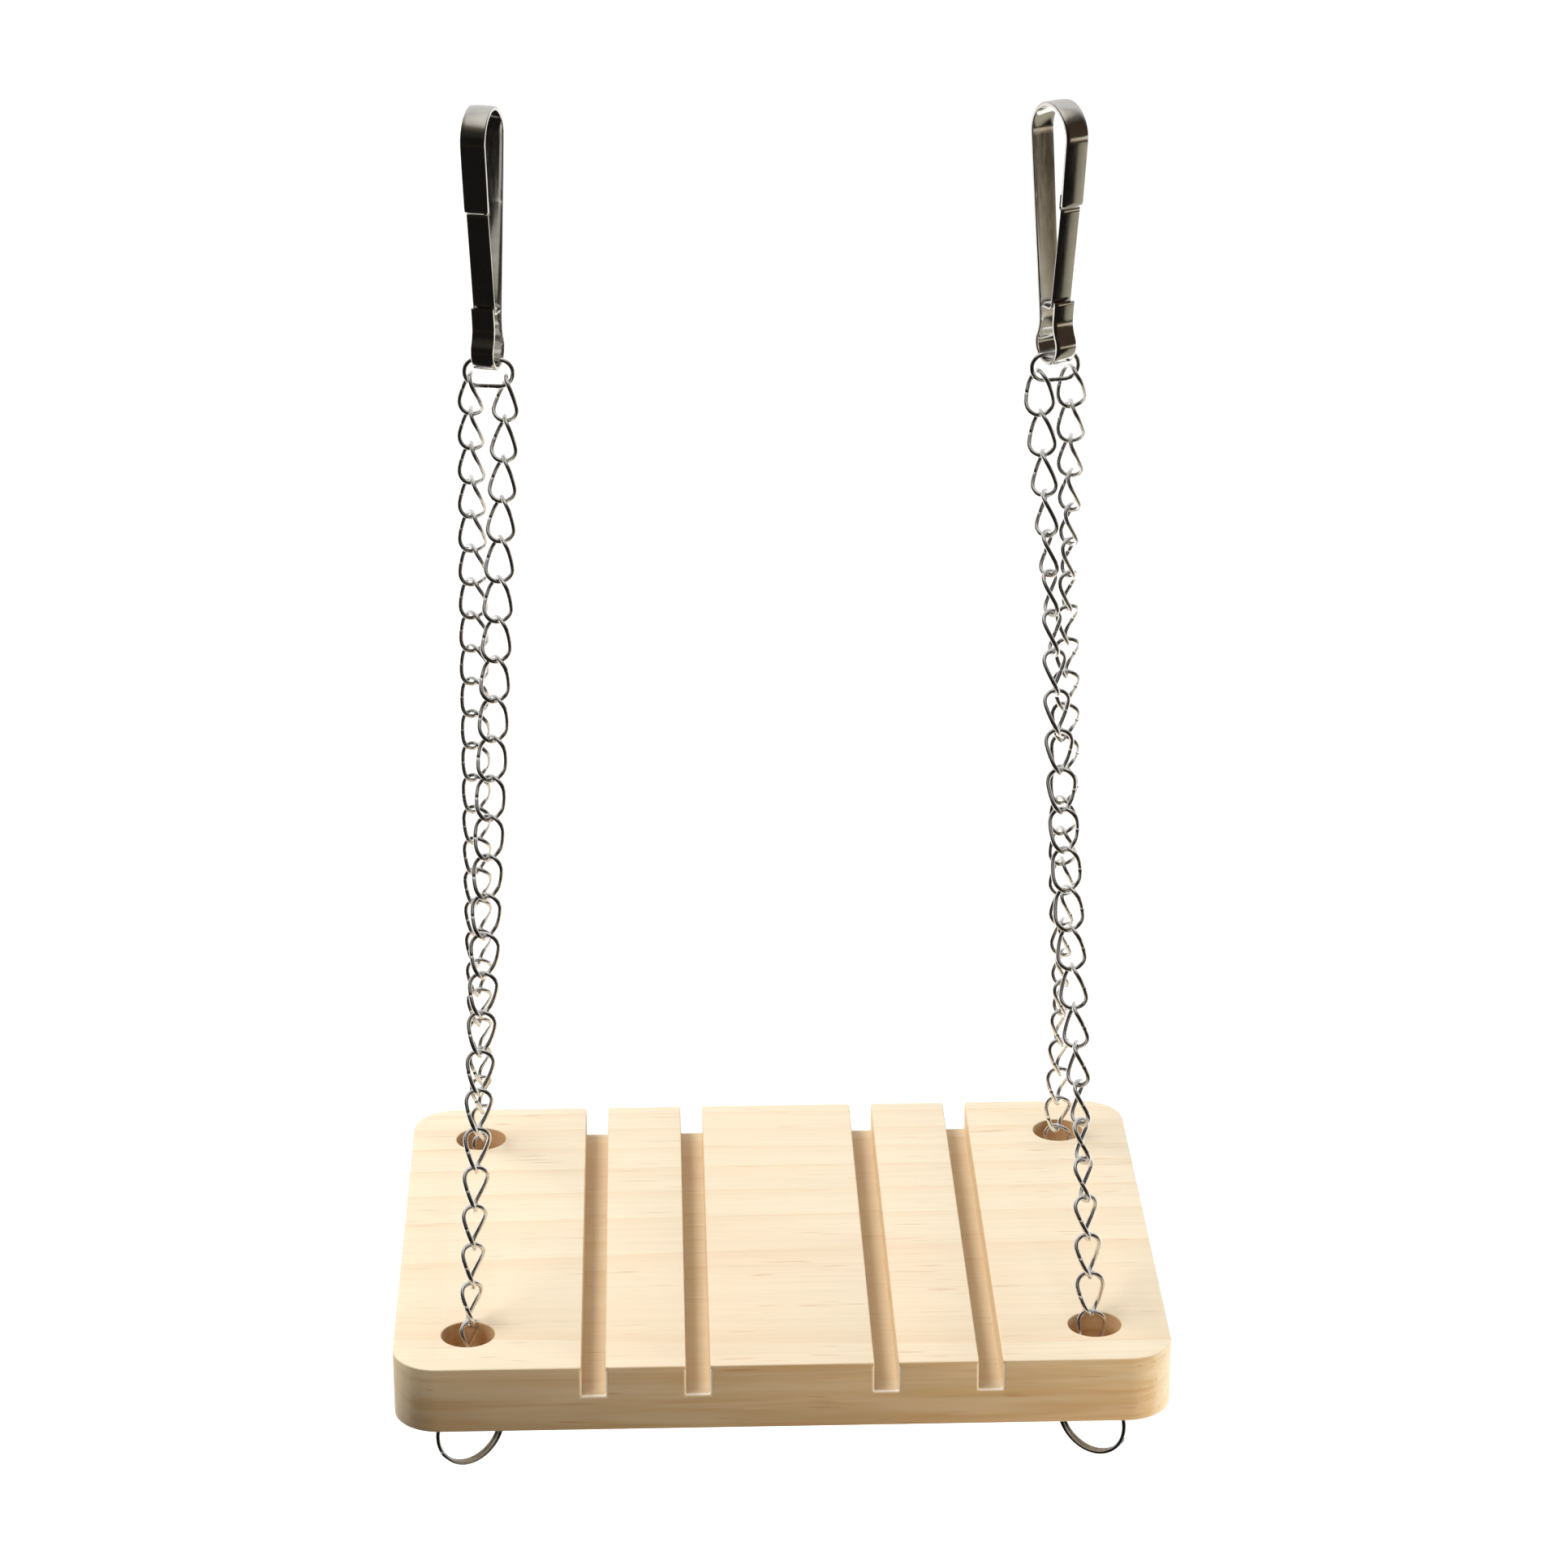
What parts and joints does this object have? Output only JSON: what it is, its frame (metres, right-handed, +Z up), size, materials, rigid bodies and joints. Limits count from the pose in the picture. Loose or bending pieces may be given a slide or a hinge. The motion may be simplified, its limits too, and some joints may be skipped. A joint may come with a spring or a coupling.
{
  "type": "bird platform swing",
  "caption": "Grooved wooden perch board for pet birds, hung at its corners by twisted-link chains from spring clips, with a split ring under each hole.",
  "frame": {"origin": "midway between the two clips, on the line where the insides of their hooks rest on the bar", "axes": "+Z up along the chains, +X to the right along the bar and the board's width, -Y towards the front"},
  "size_m": [0.15, 0.115, 0.2594],
  "materials": {
    "pale_wood": "sanded bare pale wood",
    "chain_nickel": "bright nickel plate",
    "ring_nickel": "bright nickel plate",
    "clip_nickel": "polished nickel plate on spring steel",
    "gate_nickel": "polished nickel plate on spring steel"
  },
  "bodies": {
    "hangers": {"left_clip": "clip_nickel", "right_clip": "clip_nickel"},
    "left_gate": {"left_gate": "gate_nickel"},
    "left_saddle": {"left_saddle_link": "chain_nickel"},
    "left_chain": {"left_front_chain_1": "chain_nickel", "left_front_chain_2": "chain_nickel", "left_front_chain_3": "chain_nickel", "left_front_chain_4": "chain_nickel", "left_front_chain_5": "chain_nickel", "left_front_chain_6": "chain_nickel", "left_back_chain_1": "chain_nickel", "left_back_chain_2": "chain_nickel", "left_back_chain_3": "chain_nickel", "left_back_chain_4": "chain_nickel", "left_back_chain_5": "chain_nickel", "left_back_chain_6": "chain_nickel"},
    "right_gate": {"right_gate": "gate_nickel"},
    "right_saddle": {"right_saddle_link": "chain_nickel"},
    "right_chain": {"right_front_chain_1": "chain_nickel", "right_front_chain_2": "chain_nickel", "right_front_chain_3": "chain_nickel", "right_front_chain_4": "chain_nickel", "right_front_chain_5": "chain_nickel", "right_front_chain_6": "chain_nickel", "right_back_chain_1": "chain_nickel", "right_back_chain_2": "chain_nickel", "right_back_chain_3": "chain_nickel", "right_back_chain_4": "chain_nickel", "right_back_chain_5": "chain_nickel", "right_back_chain_6": "chain_nickel"},
    "board": {"board": "pale_wood", "left_front_upper_hole_link": "chain_nickel", "left_front_lower_hole_link": "chain_nickel", "left_back_upper_hole_link": "chain_nickel", "left_back_lower_hole_link": "chain_nickel", "right_front_upper_hole_link": "chain_nickel", "right_front_lower_hole_link": "chain_nickel", "right_back_upper_hole_link": "chain_nickel", "right_back_lower_hole_link": "chain_nickel"},
    "left_front_ring": {"left_front_ring": "ring_nickel"},
    "left_back_ring": {"left_back_ring": "ring_nickel"},
    "right_front_ring": {"right_front_ring": "ring_nickel"},
    "right_back_ring": {"right_back_ring": "ring_nickel"}
  },
  "joints": [
    {"name": "left_gate_open", "type": "hinge", "parent": "hangers", "child": "left_gate", "pos_m": [-0.05258, 0.00251, -0.0386], "axis": [-0.9613, 0.2756, 0], "range_deg": [0, 12], "stiffness_Nm_per_rad": 0.15},
    {"name": "right_gate_open", "type": "hinge", "parent": "hangers", "child": "right_gate", "pos_m": [0.05203, 0.00229, -0.0386], "axis": [-0.8746, -0.4848, 0], "range_deg": [0, 12], "stiffness_Nm_per_rad": 0.15},
    {"name": "swing_fore_aft", "type": "hinge", "parent": "hangers", "child": "left_saddle", "pos_m": [-0.0533, 0, -0.0476], "axis": [1, 0, 0], "range_deg": [-35, 35]},
    {"name": "right_swing", "type": "hinge", "parent": "hangers", "child": "right_saddle", "pos_m": [0.0533, 0, -0.0476], "axis": [1, 0, 0], "range_deg": [-35, 35]},
    {"name": "sway", "type": "hinge", "parent": "left_saddle", "child": "left_chain", "pos_m": [-0.0533, 0, -0.0502], "axis": [0, 1, 0], "range_deg": [-10, 10]},
    {"name": "right_sway", "type": "hinge", "parent": "right_saddle", "child": "right_chain", "pos_m": [0.0533, 0, -0.0502], "axis": [0, 1, 0], "range_deg": [-10, 10]},
    {"name": "board_level", "type": "hinge", "parent": "left_chain", "child": "board", "pos_m": [-0.06038, 0, -0.22897], "axis": [0, 1, 0], "range_deg": [-9, 9]},
    {"name": "left_front_ring_turn", "type": "hinge", "parent": "board", "child": "left_front_ring", "pos_m": [-0.0607, -0.0432, -0.2507], "axis": [0, 0, 1], "range_deg": [-25, 25]},
    {"name": "left_back_ring_turn", "type": "hinge", "parent": "board", "child": "left_back_ring", "pos_m": [-0.0607, 0.0432, -0.2507], "axis": [0, 0, 1], "range_deg": [-25, 25]},
    {"name": "right_front_ring_turn", "type": "hinge", "parent": "board", "child": "right_front_ring", "pos_m": [0.0607, -0.0432, -0.2507], "axis": [0, 0, 1], "range_deg": [-25, 25]},
    {"name": "right_back_ring_turn", "type": "hinge", "parent": "board", "child": "right_back_ring", "pos_m": [0.0607, 0.0432, -0.2507], "axis": [0, 0, 1], "range_deg": [-25, 25]}
  ],
  "couplings": [
    {"joint": "right_swing", "follows": "swing_fore_aft", "ratio": 1},
    {"joint": "right_sway", "follows": "sway", "ratio": 1},
    {"joint": "board_level", "follows": "sway", "ratio": -0.8828}
  ]
}
